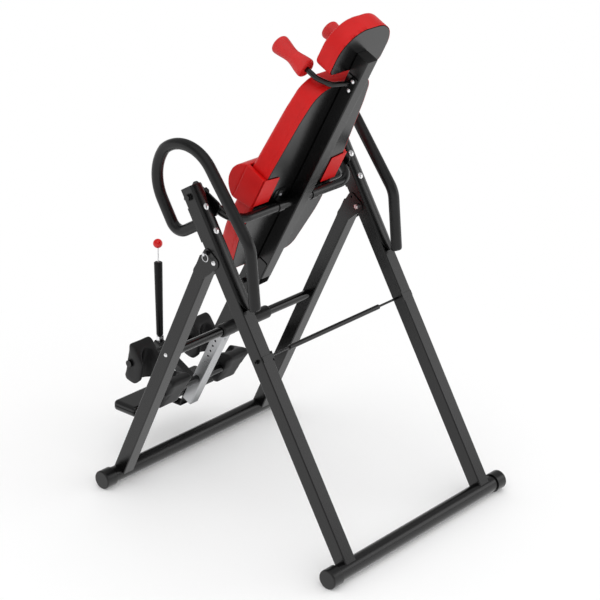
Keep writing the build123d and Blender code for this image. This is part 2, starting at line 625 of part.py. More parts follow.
def back_pad():
    pad = extrude(board_outline(), PAD_T)
    pad = fillet(pad.faces().sort_by(Axis.Z)[-1].edges(), 12.0)
    return BED * Pos(0, BOARD_FRONT, 0) * Rot(90, 0, 0) * pad


PILLOW_HALF = 123.0
PILLOW_TOP = 690.0
PILLOW_BOTTOM = 524.0
PILLOW_TOP_R = 100.0
PILLOW_LOW_R = 22.0
ROLL_TOP = 115.0
ROLL_BOTTOM = -24.0
ROLL_FRONT = -9.0           # crown of the roll, ahead of the pivot
ROLL_SEAM = 38.0            # where the round front meets the side panels
ROLL_HALF = 206.0
FLAP_T = 3.5
FLAP_INNER = 129.0


def lumbar_roll():
    """Round-fronted cushion across the pad; its sides wrap the board and end in two flaps behind it."""
    back = SPINE_FRONT + 0.3
    middle = (ROLL_TOP + ROLL_BOTTOM) / 2
    with BuildSketch(Plane.YZ) as side:
        with BuildLine():
            front = ThreePointArc((ROLL_SEAM, ROLL_TOP), (ROLL_FRONT, middle), (ROLL_SEAM, ROLL_BOTTOM))
            Polyline(front @ 1, (back + FLAP_T, ROLL_BOTTOM + 20), (back + FLAP_T, ROLL_TOP), front @ 0)
        make_face()
    roll = extrude(side.sketch, ROLL_HALF, both=True)
    inner = BOARD_HALF_WIDE + 5
    roll -= box(-inner, inner, PAD_FRONT - 0.3, back, -200, 300)
    roll -= box(-FLAP_INNER, FLAP_INNER, SPINE_FRONT - 5, 200, -200, 300)
    return BED * roll.solids().sort_by(SortBy.VOLUME)[-1]


def pillow_outline(inset=0.0):
    half = PILLOW_HALF - inset
    top = PILLOW_TOP - inset
    with BuildSketch() as plan:
        with BuildLine():
            right = [(0, PILLOW_BOTTOM + inset), (half, PILLOW_BOTTOM + inset), (half, top), (0, top)]
            side = FilletPolyline(*right, radius=(PILLOW_LOW_R, PILLOW_TOP_R - inset))
            mirror(side, about=Plane.YZ)
        make_face()
    return plan.sketch


def pillow_plate():
    plate = extrude(pillow_outline(3.0), 7)
    return BED * Pos(0, SPINE_FRONT, 0) * Rot(90, 0, 0) * plate


def pillow():
    cushion = extrude(pillow_outline(), 68)
    cushion = fillet(cushion.faces().sort_by(Axis.Z)[-1].edges(), 14.0)
    return BED * Pos(0, SPINE_FRONT - 7, 0) * Rot(90, 0, 0) * cushion


# ---------------------------------------------------------------- neck handles
NECK_ROD_D = 18.0
NECK_Z = 488.0
GRIP_X = 120.0
GRIP_BACK = 38.0
GRIP_FRONT = -97.0


def neck_rod(side):
    """Bent rod from the spine's side to the grip."""
    with BuildLine(Plane.XY) as route:
        points = (HALF_TUBE + 4, NECK_Y - 13), (92, NECK_Y - 28), (GRIP_X, 84), (GRIP_X, GRIP_FRONT + 12)
        FilletPolyline(*points, radius=(32, 40))
    section = Plane(origin=route.line @ 0, z_dir=route.line % 0)
    rod = sweep(section * Circle(NECK_ROD_D / 2), path=route.line)
    rod = Pos(0, 0, NECK_Z) * rod
    return BED * (rod if side > 0 else mirror(rod, Plane.YZ))


def neck_plate(side):
    """Plate between a neck rod and the spine, on the two cross bolts."""
    plate = box(HALF_TUBE, HALF_TUBE + 4, NECK_Y - 28, NECK_Y + 14, NECK_Z - 32, NECK_Z + 32)
    for z in NECK_BOLTS:
        plate -= rod_x(4.1, 0, 60, NECK_Y, z)
    return BED * (plate if side > 0 else mirror(plate, Plane.YZ))


def neck_bolts():
    solids = []
    for z in NECK_BOLTS:
        reach = HALF_TUBE + 4
        bolt = Pos(reach, 0, 0) * Rot(0, 90, 0) * dome_bolt(7, 4.5, 4, 2 * reach + 8)
        bolt += Pos(-reach - 6.5, 0, 0) * Rot(0, 90, 0) * hex_nut(13, 6.5, 3.9)
        solids.append(BED * Pos(0, NECK_Y, z) * bolt)
    return Compound(children=solids)


def neck_grip(side):
    """Hourglass foam grip."""
    back, front = GRIP_BACK, GRIP_FRONT
    middle = (back + front) / 2
    with BuildSketch(Plane.XY) as half:
        with BuildLine():
            Polyline((0, back), (24, back))
            ThreePointArc((24, back), (31, back - 3), (33, back - 12))
            Spline((33, back - 12), (23.5, middle), (32, front + 12), tangents=[(-0.1, -1), (0.1, -1)])
            ThreePointArc((32, front + 12), (29, front + 3), (22, front))
            Polyline((22, front), (0, front), (0, back))
        make_face()
    grip = revolve(half.sketch, Axis.Y)
    grip -= Pos(0, 60, 0) * Rot(90, 0, 0) * Cylinder(NECK_ROD_D / 2, 2 * (60 - front - 12))
    return BED * Pos(side * GRIP_X, 0, NECK_Z) * grip


# ---------------------------------------------------------------- height guide and bar
GUIDE_Y = GUIDE_BACK - GUIDE_DEEP / 2
GUIDE_WALL = 2.5


def guide_tube():
    """Rectangular tube below the spine that the height bar slides in."""
    tube = square_tube(SQUARE_TUBE, GUIDE_DEEP, GUIDE_WALL, GUIDE_BOTTOM, GUIDE_TOP, 3)
    tube = Pos(0, GUIDE_Y, 0) * tube
    tube -= rod_x(HEIGHT_PIN_D / 2 + RUNNING, 10, 40, BAR_Y, HEIGHT_PIN_Z)
    boss = pipe_x(8.5, HEIGHT_PIN_D / 2 + RUNNING, HALF_TUBE, 39, BAR_Y, HEIGHT_PIN_Z)
    return BED * (tube + boss)


def splice(side):
    """Plate welded to both tubes where the spine meets the guide."""
    back, front = SPINE_FRONT + SQUARE_TUBE - 4, GUIDE_BACK - GUIDE_DEEP + 4
    points = [(back, -285), (back, -385), (GUIDE_BACK - 4, -430), (front, -430), (front, -350)]
    points += [(SPINE_FRONT + 4, -310), (SPINE_FRONT + 4, -285)]
    with BuildSketch(Plane.YZ) as outline:
        with BuildLine():
            Polyline(*points, close=True)
        make_face()
        fillet(outline.vertices(), 8)
    plate = Pos(HALF_TUBE, 0, 0) * extrude(outline.sketch, 3)
    plate -= rod_x(9, 0, 60, BAR_Y, HEIGHT_PIN_Z)
    return BED * (plate if side > 0 else mirror(plate, Plane.YZ))


def guide_bush(z0, z1):
    """Plastic liner between guide and bar."""
    outer = extrude(RectangleRounded(SQUARE_TUBE - 2 * GUIDE_WALL, GUIDE_DEEP - 2 * GUIDE_WALL, 0.5), z1 - z0)
    side = BAR_SIDE + 2 * SLIDING
    bore = Pos(0, BAR_Y - GUIDE_Y, 0) * extrude(Rectangle(side, side), z1 - z0)
    return BED * Pos(0, GUIDE_Y, z0) * (outer - bore)


def guide_collar():
    """Lip of the lower liner, round the mouth of the guide."""
    outer = Pos(0, GUIDE_Y, 0) * extrude(RectangleRounded(SQUARE_TUBE + 3, GUIDE_DEEP - 1, 4), 5)
    side = BAR_SIDE + 2 * SLIDING
    bore = Pos(0, BAR_Y, 0) * extrude(Rectangle(side, side), 5)
    return BED * Pos(0, 0, GUIDE_BOTTOM - 5) * (outer - bore)


def height_bar():
    """Square bar with a row of holes, which slides in the guide."""
    bar = square_tube(BAR_SIDE, BAR_SIDE, TUBE_WALL, BAR_BOTTOM, HEIGHT_PIN_Z + 2.5 * HOLE_PITCH, 3)
    bar = Pos(0, BAR_Y, 0) * bar
    for n in range(-2, 16):
        bar -= rod_x(HEIGHT_PIN_D / 2 + GAP, 0, 40, BAR_Y, HEIGHT_PIN_Z - n * HOLE_PITCH)
    bar -= rod_x(AXLE_D / 2, -60, 60, BAR_Y, REAR_AXLE_Z)
    return BED * bar


def bar_plug():
    inner = BAR_SIDE - 2 * TUBE_WALL
    plug = extrude(RectangleRounded(BAR_SIDE, BAR_SIDE, 3), -3)
    plug += extrude(RectangleRounded(inner, inner, 1), 12)
    return BED * Pos(0, BAR_Y, BAR_BOTTOM) * plug


def stop_bolt():
    """Small bolt on the back of the bar, below the guide, which stops it at its shortest."""
    bolt = Rot(-90, 0, 0) * dome_bolt(6, 4, 3, 6)
    return BED * Pos(0, BAR_Y + BAR_SIDE / 2, GUIDE_BOTTOM - 11.5 - HOLE_PITCH) * bolt


def height_pin():
    """Spring pin through the side of the guide, with its nose in the bar."""
    nose = BAR_SIDE / 2 + SLIDING
    pin = rod_x(HEIGHT_PIN_D / 2, nose, 52)
    pin = Pos(0, BAR_Y, HEIGHT_PIN_Z) * pin
    return BED * pin


def height_knob():
    knob = rod_x(13, 50, 66)
    knob = fillet(knob.edges().filter_by(GeomType.CIRCLE), 4.0)
    knob -= rod_x(HEIGHT_PIN_D / 2, 30, 52)
    return BED * Pos(0, BAR_Y, HEIGHT_PIN_Z) * knob


# ---------------------------------------------------------------- ankle holders
def rear_axle():
    half = CUP_X + CUP_W / 2 + 4
    return BED * pipe_x(AXLE_D / 2, AXLE_D / 2 - TUBE_WALL, -half, half, BAR_Y, REAR_AXLE_Z)


def axle_sleeve(side):
    """Rubber sleeve on the rear axle, between the bar and a holder."""
    sleeve = pipe_x(14, AXLE_D / 2, BAR_SIDE / 2, CUP_X - CUP_W / 2 - GAP, BAR_Y, REAR_AXLE_Z)
    return BED * (sleeve if side > 0 else mirror(sleeve, Plane.YZ))


def axle_cap(side, y, z):
    """Push-on end cap of an axle."""
    start = CUP_X + CUP_W / 2 + GAP
    one = rod_x(13, start, start + 8) - rod_x(AXLE_D / 2, start - 1, start + 4 - GAP)
    one = Pos(0, y, z) * one
    return BED * (one if side > 0 else mirror(one, Plane.YZ))


def axle_caps(y, z):
    return [axle_cap(1, y, z), axle_cap(-1, y, z)]


def cup_profile():
    """Side view of a cup: flat back at the axle, and a rounded front that reaches out below the middle."""
    half = CUP_H / 2
    back = -CUP_WEB / 2
    reach = CUP_D + back
    points = [(back, -half + 2), (back, half), (4, half), (reach, 0.3 * half), (reach, -0.55 * half), (0.55 * reach, -half)]
    with BuildSketch(Plane.YZ) as side:
        with BuildLine():
            Polyline(*points, close=True)
        make_face()
        fillet(side.vertices().sort_by(Axis.X)[-2:], 22)
        fillet(side.vertices().group_by(Axis.X)[0], 9)
    return side.sketch


def cup(y, z, tilt, way, side):
    """Moulded foam ankle cup: a thick web on its axle and an open groove for the ankle."""
    body = extrude(cup_profile(), CUP_W / 2, both=True)
    body = fillet(body.faces().sort_by(Axis.X)[-1].edges() + body.faces().sort_by(Axis.X)[0].edges(), 5.0)
    body -= Pos(0, CUP_WEB / 2 + CUP_GROOVE_R, 0) * Cylinder(CUP_GROOVE_R, CUP_H + 10)
    if way < 0:
        body = Rot(0, 0, 180) * body
    body = Rot(tilt, 0, 0) * body
    body -= rod_x(AXLE_D / 2 + RUNNING, -80, 80)
    return BED * Pos(side * CUP_X, y, z) * body


def rail():
    """Square rail on the front of the bar, with the holes that the release rod drops in."""
    tube = RectangleRounded(RAIL_SIDE, RAIL_SIDE, 2) - RectangleRounded(RAIL_SIDE - 4, RAIL_SIDE - 4, 1)
    length = BAR_Y - BAR_SIDE / 2 - RAIL_END
    tube = Pos(0, BAR_Y - BAR_SIDE / 2, RAIL_Z) * Rot(90, 0, 0) * extrude(tube, length)
    tube = BED * tube
    for n in range(0, 7):
        shift = BED * Pos(0, n * RAIL_PITCH, 0)
        move = shift.position - BED.position
        hole = Cylinder(ROD_D / 2 + GAP, 16)
        tube -= Pos(0, LEVER_Y - move.Y, rod_foot() - 8 - move.Z) * hole
    return tube


ROD_D = 6.0


def rod_foot():
    """Lower end of the release rod, just inside the rail."""
    top = RAIL_Z + RAIL_SIDE / 2
    lean = radians(BED_LEAN)
    y_bed = (LEVER_Y - PIVOT_Y - top * sin(lean)) / cos(lean)
    return PIVOT_Z + top * cos(lean) - y_bed * sin(lean) + ROD_D / 2 * tan(lean) + SLIDING


def rail_plug():
    plug = extrude(RectangleRounded(RAIL_SIDE, RAIL_SIDE, 2), 4)
    plug += extrude(RectangleRounded(RAIL_SIDE - 4, RAIL_SIDE - 4, 1), -5)
    return BED * Pos(0, RAIL_END, RAIL_Z) * Rot(90, 0, 0) * plug


CARRIAGE_WALL = 4.0


def carriage():
    """Sliding block on the rail that carries the front axle and the lever post."""
    inner = RAIL_SIDE + 2 * SLIDING
    outer = inner + 2 * CARRIAGE_WALL
    block = box(-outer / 2, outer / 2, -CARRIAGE_LEN / 2, CARRIAGE_LEN / 2, -outer / 2, outer / 2)
    block = fillet(block.edges().filter_by(Axis.Y), 3.0)
    block = Pos(0, CARRIAGE_Y, RAIL_Z) * block
    seat = box(-17, 17, FRONT_AXLE_Y - 14, FRONT_AXLE_Y + 14, RAIL_Z + inner / 2 + 1, FRONT_AXLE_Z + 4)
    block += seat
    block -= box(-inner / 2, inner / 2, -200, 200, RAIL_Z - inner / 2, RAIL_Z + inner / 2)
    block -= rod_x(AXLE_D / 2, -80, 80, FRONT_AXLE_Y, FRONT_AXLE_Z)
    block = BED * block
    return block - Pos(0, LEVER_Y, GRIP_BOTTOM - 34) * Cylinder(ROD_D / 2 + 0.1, 200)


def front_axle():
    half = CUP_X + CUP_W / 2 + 4
    return BED * pipe_x(AXLE_D / 2, AXLE_D / 2 - TUBE_WALL, -half, half, FRONT_AXLE_Y, FRONT_AXLE_Z)


def lever_fork():
    """Bright fork that stands the lever post on the carriage."""
    top = GRIP_BOTTOM
    base = Pos(0, LEVER_Y, top - 6) * Box(22, 16, 6)
    legs = base
    for side in (1, -1):
        legs += box(side * 9 - 2, side * 9 + 2, LEVER_Y - 8, LEVER_Y + 8, top - 44, top - 3)
    inner = RAIL_SIDE + 2 * SLIDING
    outer = inner + 2 * CARRIAGE_WALL
    legs -= BED * box(-60, 60, -200, 100, RAIL_Z - 60, RAIL_Z + outer / 2)
    return legs - Pos(0, LEVER_Y, top) * Cylinder(ROD_D / 2 + 0.1, 60)


def lever_tube():
    height = GRIP_TOP - GRIP_BOTTOM + 3
    tube = Pos(0, LEVER_Y, GRIP_BOTTOM - 3 + height / 2) * Cylinder(8, height)
    return tube - Pos(0, LEVER_Y, GRIP_BOTTOM) * Cylinder(ROD_D / 2 + 0.1, 3 * GRIP_LEN)


def lever_grip():
    """Tapered foam grip, thicker at the top."""
    height = GRIP_TOP - GRIP_BOTTOM
    grip = Pos(0, LEVER_Y, GRIP_BOTTOM + height / 2) * Cone(12.5, 15.5, height)
    grip = fillet(grip.edges().filter_by(GeomType.CIRCLE), 2.5)
    return grip - Pos(0, LEVER_Y, GRIP_BOTTOM + height / 2) * Cylinder(8, height + 2)


def release_rod():
    foot = rod_foot()
    top = BALL_Z - 4
    return Pos(0, LEVER_Y, (foot + top) / 2) * Cylinder(ROD_D / 2, top - foot)


def release_ball():
    ball = Pos(0, LEVER_Y, BALL_Z) * Sphere(BALL_R)
    return ball - Pos(0, LEVER_Y, BALL_Z - 4 - 25) * Cylinder(ROD_D / 2, 50)


# ---------------------------------------------------------------- foot plate
def foot_plate():
    """Moulded step with a rounded nose, a groove round its edge and a ribbed top."""
    middle = (PLATE_FRONT + PLATE_BACK) / 2
    deep = PLATE_BACK - PLATE_FRONT
    plan = Pos(0, middle) * RectangleRounded(2 * PLATE_HALF, deep, 16)
    plate = Pos(0, 0, PLATE_TOP - PLATE_T) * extrude(plan, PLATE_T)
    plate = fillet(plate.edges().filter_by(Plane.XY).group_by(Axis.Z)[-1], PLATE_ROUND)
    plate = fillet(plate.edges().filter_by(Plane.XY).group_by(Axis.Z)[0], PLATE_ROUND)
    ring = Pos(0, middle) * RectangleRounded(2 * PLATE_HALF + 4, deep + 4, 18)
    ring -= Pos(0, middle) * RectangleRounded(2 * PLATE_HALF - 5, deep - 5, 14)
    plate -= Pos(0, 0, PLATE_TOP - PLATE_T / 2) * extrude(ring, 4)
    hollow = Pos(0, middle, PLATE_TOP - PLATE_T / 2 - 6) * Box(2 * PLATE_HALF - 40, deep - 40, PLATE_T - 12)
    return plate - hollow


def plate_bracket():
    """Bent strap under the foot plate and up the front face of the height bar."""
    low = PLATE_TOP - PLATE_T
    face = (BED * Pos(0, BAR_Y - BAR_SIDE / 2, BAR_BOTTOM)).position
    foot = (BED * Pos(0, BAR_Y - BAR_SIDE / 2, BAR_BOTTOM + 2)).position
    head = (BED * Pos(0, BAR_Y - BAR_SIDE / 2, BAR_BOTTOM + 34)).position
    away = BED * Pos(0, BAR_Y - BAR_SIDE / 2 - 4, BAR_BOTTOM + 34)
    bend = BED * Pos(0, BAR_Y - BAR_SIDE / 2 - 4, BAR_BOTTOM + 7)
    past = (BED * Pos(0, BAR_Y - BAR_SIDE / 2 - 1.5, BAR_BOTTOM - 4)).position
    points = [(PLATE_FRONT + 34, low), (PLATE_FRONT + 34, low - 4), (face.Y - 14, low - 4), (past.Y, past.Z)]
    points += [(foot.Y, foot.Z)]
    points += [(head.Y, head.Z), (away.position.Y, away.position.Z), (bend.position.Y, bend.position.Z)]
    points += [(face.Y - 18, low)]
    profile = Plane.YZ * make_face(Polyline(*points, close=True))
    return extrude(profile, 20, both=True)


# ---------------------------------------------------------------- write the nodes
NODES = {
    "rear_floor_tube": lambda: FLOOR_REAR * floor_tube(),
    "rear_foot_caps": lambda: FLOOR_REAR * both(foot_cap),
    "rear_leg_left": lambda: rear_leg(1),
    "rear_leg_right": lambda: rear_leg(-1),
    "rear_leg_plugs": lambda: both(leg_plug),
    "brace_rod": brace_rod,
    "brace_sleeve": lambda: pipe_x(
        BRACE_SLEEVE_D / 2, BRACE_ROD_D / 2, -BRACE_SLEEVE_HALF, BRACE_SLEEVE_HALF, brace_y(), BRACE_Z),
    "brace_clips": lambda: both(brace_clip),
    "handle_tube_left": lambda: handle_tube(1),
    "handle_tube_right": lambda: handle_tube(-1),
    "handle_foam_left": lambda: handle_foam(1),
    "handle_foam_right": lambda: handle_foam(-1),
    "handle_saddles": lambda: both(saddle),
    "saddle_bolts": saddle_bolts,
    "pivot_bolts": lambda: both(pivot_bolt),
    "pivot_spacers": lambda: both(pivot_spacer),
    "hinge_bolts": lambda: both(hinge_bolt),
    "front_floor_tube": lambda: FLOOR_FRONT * floor_tube(),
    "front_foot_caps": lambda: FLOOR_FRONT * both(foot_cap),
    "front_leg_left": lambda: front_leg(1),
    "front_leg_right": lambda: front_leg(-1),
    "hinge_cheeks": lambda: Compound(children=[
        cheek(1, 1) + lock_boss(1), cheek(1, -1), cheek(-1, 1), cheek(-1, -1) + lock_boss(-1)]),
    "front_cross_tube": cross_tube,
    "cross_tube_sleeve": cross_sleeve,
    "cross_tube_bolts": lambda: both(cross_bolt),
    "lock_ring_left": lambda: Compound(children=[lock_pin(1), lock_ring(1)]),
    "lock_ring_right": lambda: Compound(children=[lock_pin(-1), lock_ring(-1)]),
    "spine_tube": spine_tube,
    "spine_plug": spine_plug,
    "bed_bar": lambda: both(ubar),
    "hinge_arms": lambda: both(arm),
    "bar_clamps": lambda: both(clamp),
    "clamp_bases": lambda: both(clamp_base),
    "clamp_bolts": clamp_bolts,
    "back_board": board,
    "back_pad": back_pad,
    "lumbar_roll": lumbar_roll,
    "pillow_plate": pillow_plate,
    "head_pillow": pillow,
    "neck_rods": lambda: both(lambda side: neck_rod(side) + neck_plate(side)),
    "neck_bolts": neck_bolts,
    "neck_grips": lambda: both(neck_grip),
    "guide_tube": guide_tube,
    "splice_plates": lambda: both(splice),
    "guide_liners": lambda: Compound(children=[
        guide_bush(GUIDE_BOTTOM, GUIDE_BOTTOM + 40), guide_bush(-386, -356), guide_collar()]),
    "height_pin": lambda: Compound(children=[height_pin(), height_knob()]),
    "height_bar": lambda: Compound(children=[height_bar(), bar_plug(), stop_bolt()]),
    "ankle_rail": lambda: Compound(children=[rail(), rail_plug()]),
    "rear_axle": lambda: Compound(children=[
        rear_axle(), axle_sleeve(1), axle_sleeve(-1), *axle_caps(BAR_Y, REAR_AXLE_Z)]),
    "foot_plate": lambda: Compound(children=[foot_plate(), plate_bracket()]),
    "ankle_carriage": lambda: Compound(children=[carriage(), lever_tube()]),
    "lever_fork": lever_fork,
    "lever_grip": lever_grip,
    "front_axle": lambda: Compound(children=[front_axle(), *axle_caps(FRONT_AXLE_Y, FRONT_AXLE_Z)]),
    "release_rod": release_rod,
    "release_ball": release_ball,
    "front_holder_left": lambda: cup(FRONT_AXLE_Y, FRONT_AXLE_Z, FRONT_CUP_TILT, 1, 1),
    "front_holder_right": lambda: cup(FRONT_AXLE_Y, FRONT_AXLE_Z, FRONT_CUP_TILT, 1, -1),
    "rear_holder_left": lambda: cup(BAR_Y, REAR_AXLE_Z, REAR_CUP_TILT, -1, 1),
    "rear_holder_right": lambda: cup(BAR_Y, REAR_AXLE_Z, REAR_CUP_TILT, -1, -1),
}


def main():
    os.makedirs("parts", exist_ok=True)
    for node, make in NODES.items():
        save(node, make())


main()
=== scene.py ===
# %% [markdown]
# # A folding inversion table
# The machine is a steel A-frame with a padded bed that swings between its two rear legs.
# The frame, the bed's tubes, the bolts and the pins come from the CAD model and keep their shapes.
# This lesson gives them their finishes, and makes the soft things: the back pad, the lumbar cushion,
# the pillow, the foam grips and the ankle cups.

# %% Load the frame
import bpy
import json
import math
from mathutils import Matrix, Vector


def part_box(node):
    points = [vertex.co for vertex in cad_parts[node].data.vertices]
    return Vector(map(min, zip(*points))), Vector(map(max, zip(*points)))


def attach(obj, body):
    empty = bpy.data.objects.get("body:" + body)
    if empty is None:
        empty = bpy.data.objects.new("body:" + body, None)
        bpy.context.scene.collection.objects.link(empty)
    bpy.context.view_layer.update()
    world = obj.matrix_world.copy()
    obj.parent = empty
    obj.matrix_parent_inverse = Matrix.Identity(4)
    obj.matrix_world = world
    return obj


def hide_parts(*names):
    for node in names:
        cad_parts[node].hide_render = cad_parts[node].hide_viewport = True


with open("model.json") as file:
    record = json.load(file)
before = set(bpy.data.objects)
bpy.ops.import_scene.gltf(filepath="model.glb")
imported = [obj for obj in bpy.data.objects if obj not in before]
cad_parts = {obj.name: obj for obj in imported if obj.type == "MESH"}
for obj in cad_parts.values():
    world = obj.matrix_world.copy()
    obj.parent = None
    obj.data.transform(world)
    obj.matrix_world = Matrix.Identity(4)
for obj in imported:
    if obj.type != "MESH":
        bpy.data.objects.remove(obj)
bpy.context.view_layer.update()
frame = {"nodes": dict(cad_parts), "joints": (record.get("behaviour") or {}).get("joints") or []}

# %% [markdown]
# ## Finding our way on the bed
# The bed leans back 28 degrees from upright, so its own height and depth don't follow Z and Y.
# Pieces of the bed are modelled in the bed's frame: X across, Y behind the pivot, Z along the bed.
# One matrix then carries a finished mesh to its place, and its object stays at the origin.

# %% The bed's own frame
joint_at = {joint["name"]: Vector(joint["pos_m"]) for joint in frame["joints"] if "pos_m" in joint}
BED_LEAN = math.radians(28)
BED = Matrix.Translation(joint_at["bed_tilt"]) @ Matrix.Rotation(-BED_LEAN, 4, "X")
print("the bed turns about", [round(value, 4) for value in joint_at["bed_tilt"]])


def deselect_all():
    if bpy.context.object and bpy.context.object.mode != "OBJECT":
        bpy.ops.object.mode_set(mode="OBJECT")
    bpy.ops.object.select_all(action="DESELECT")


def only(piece):
    """Selects one piece and makes it the active one."""
    deselect_all()
    piece.select_set(True)
    bpy.context.view_layer.objects.active = piece


def settle(piece, name, body, finish, place=None):
    """Names a finished piece, bakes its place into its mesh, dresses it and lets it ride on a body."""
    piece.name = name
    piece.data.name = name
    if place is not None:
        piece.data.transform(place @ piece.matrix_world)
    else:
        piece.data.transform(piece.matrix_world)
    piece.matrix_world = Matrix.Identity(4)
    piece.data.materials.clear()
    piece.data.materials.append(finish)
    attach(piece, body)
    print(name, len(piece.data.polygons), "faces")


# %% [markdown]
# ## Finishes
# Each finish is a node material on a Principled shader. Patterns read Object coordinates, which are
# metres here, so a noise scale of 500 gives grains of about two millimetres.
# Small bumps come from noise through a Bump node, and colour and roughness vary a little with a
# second, wider noise, because no real surface is even.

# %% Helpers for finishes
def new_finish(name, colour, roughness, metallic=0.0):
    """A material with a Principled shader, and what is wired to it: nodes, links, Object coordinates."""
    finish = bpy.data.materials.new(name)
    finish.use_nodes = True
    nodes = finish.node_tree.nodes
    shader = nodes["Principled BSDF"]
    shader.inputs["Base Color"].default_value = (*colour, 1)
    shader.inputs["Roughness"].default_value = roughness
    shader.inputs["Metallic"].default_value = metallic
    where = nodes.new("ShaderNodeTexCoord")
    return finish, nodes, finish.node_tree.links, shader, where.outputs["Object"]


def grain(nodes, links, where, scale, detail=2.0, rough=0.5):
    """Noise at one scale."""
    noise = nodes.new("ShaderNodeTexNoise")
    noise.inputs["Scale"].default_value = scale
    noise.inputs["Detail"].default_value = detail
    noise.inputs["Roughness"].default_value = rough
    links.new(where, noise.inputs["Vector"])
    return noise.outputs["Fac"]


def between(nodes, links, factor, low, high):
    """Spreads a 0 to 1 factor between two values."""
    spread = nodes.new("ShaderNodeMapRange")
    spread.inputs["From Min"].default_value = 0.3
    spread.inputs["From Max"].default_value = 0.7
    spread.inputs["To Min"].default_value = low
    spread.inputs["To Max"].default_value = high
    links.new(factor, spread.inputs["Value"])
    return spread.outputs["Result"]


def two_tone(nodes, links, factor, dark, light):
    """Mixes two colours by a factor."""
    ramp = nodes.new("ShaderNodeValToRGB")
    ramp.color_ramp.elements[0].position = 0.35
    ramp.color_ramp.elements[0].color = (*dark, 1)
    ramp.color_ramp.elements[1].position = 0.65
    ramp.color_ramp.elements[1].color = (*light, 1)
    links.new(factor, ramp.inputs["Fac"])
    return ramp.outputs["Color"]


def bump(nodes, links, shader, height, strength, depth, under=None):
    """Turns a height into a bump of the given depth in metres."""
    node = nodes.new("ShaderNodeBump")
    node.inputs["Strength"].default_value = strength
    node.inputs["Distance"].default_value = depth
    links.new(height, node.inputs["Height"])
    if under is not None:
        links.new(under, node.inputs["Normal"])
    links.new(node.outputs["Normal"], shader.inputs["Normal"])
    return node.outputs["Normal"]


def soft_edge(nodes, radius):
    """A rounded look for the sharp edges of cut and folded metal."""
    node = nodes.new("ShaderNodeBevel")
    node.samples = 4
    node.inputs["Radius"].default_value = radius
    return node.outputs["Normal"]


# %% [markdown]
# ### Powder coat
# The frame is sprayed with black powder and baked. Seen close it has a fine orange peel, and its
# gloss is between satin and matt. Edges look rounded, because the coat is thickest there.
# The neck rods and the cross tube wear a glossier coat, and the height bar a silver one.

# %% Powder coat
def powder_coat(name, dark, light, low, high):
    finish, nodes, links, shader, where = new_finish(name, light, 0.4)
    cloud = grain(nodes, links, where, 7, 3)
    links.new(two_tone(nodes, links, cloud, dark, light), shader.inputs["Base Color"])
    links.new(between(nodes, links, cloud, low, high), shader.inputs["Roughness"])
    peel = grain(nodes, links, where, 700, 1.5)
    bump(nodes, links, shader, peel, 0.16, 0.0003, soft_edge(nodes, 0.0009))
    return finish


black_coat = powder_coat("black_coat", (0.0012, 0.0012, 0.0013), (0.0022, 0.0022, 0.0024), 0.25, 0.28)
gloss_coat = powder_coat("gloss_coat", (0.0008, 0.0008, 0.0009), (0.0015, 0.0015, 0.0016), 0.13, 0.17)
silver_coat = powder_coat("silver_coat", (0.44, 0.445, 0.455), (0.49, 0.495, 0.505), 0.26, 0.31)
silver_coat.node_tree.nodes["Principled BSDF"].inputs["Metallic"].default_value = 0.75

# %% [markdown]
# ### Moulded plastic and foam
# Caps, plugs and liners are moulded plastic with a spark-eroded grain, and the step is smoother.
# The grips and the ankle cups are foam with coarser pores: the smaller the scale of the noise, the
# wider the pores. The skin of the black foams mirrors less, and the red foam is the coarsest.

# %% Plastic and foam
def moulded(name, dark, light, low, high, scale, strength, depth, mirror=0.5):
    finish, nodes, links, shader, where = new_finish(name, light, 0.5)
    shader.inputs["Specular IOR Level"].default_value = mirror
    cloud = grain(nodes, links, where, 9, 3)
    links.new(two_tone(nodes, links, cloud, dark, light), shader.inputs["Base Color"])
    links.new(between(nodes, links, cloud, low, high), shader.inputs["Roughness"])
    texture = grain(nodes, links, where, scale, 3, 0.6)
    bump(nodes, links, shader, texture, strength, depth)
    return finish


black_plastic = moulded(
    "black_plastic", (0.0015, 0.0015, 0.0016), (0.003, 0.003, 0.0032),
    low=0.26, high=0.34, scale=1500, strength=0.2, depth=0.0002)
board_plastic = moulded(
    "board_plastic", (0.0010, 0.0010, 0.0011), (0.002, 0.002, 0.0022),
    low=0.24, high=0.27, scale=900, strength=0.12, depth=0.0002)
step_plastic = moulded(
    "step_plastic", (0.0015, 0.0015, 0.0016), (0.003, 0.003, 0.0032),
    low=0.10, high=0.13, scale=1200, strength=0.10, depth=0.0001)
grip_foam = moulded(
    "grip_foam", (0.003, 0.003, 0.0032), (0.0055, 0.0055, 0.006),
    low=0.30, high=0.36, scale=600, strength=0.25, depth=0.0004, mirror=0.38)
cup_foam = moulded(
    "cup_foam", (0.004, 0.004, 0.0044), (0.006, 0.006, 0.0065),
    low=0.40, high=0.46, scale=420, strength=0.3, depth=0.0005, mirror=0.34)
lever_foam = moulded(
    "lever_foam", (0.002, 0.002, 0.0022), (0.004, 0.004, 0.0044),
    low=0.26, high=0.32, scale=800, strength=0.2, depth=0.0003, mirror=0.2)
red_foam = moulded(
    "red_foam", (0.50, 0.002, 0.002), (0.60, 0.005, 0.005),
    low=0.42, high=0.56, scale=260, strength=0.75, depth=0.0018)
red_gloss = moulded(
    "red_gloss", (0.55, 0.001, 0.001), (0.62, 0.002, 0.002),
    low=0.10, high=0.16, scale=300, strength=0.05, depth=0.0002)

# %% [markdown]
# ### Bright metal
# Dome bolts and the lever's rod are plated and polished, so they mirror the room. The bolts of the
# clamps are duller and darker. The pull rings are only zinc plated, which is greyer and clouded.

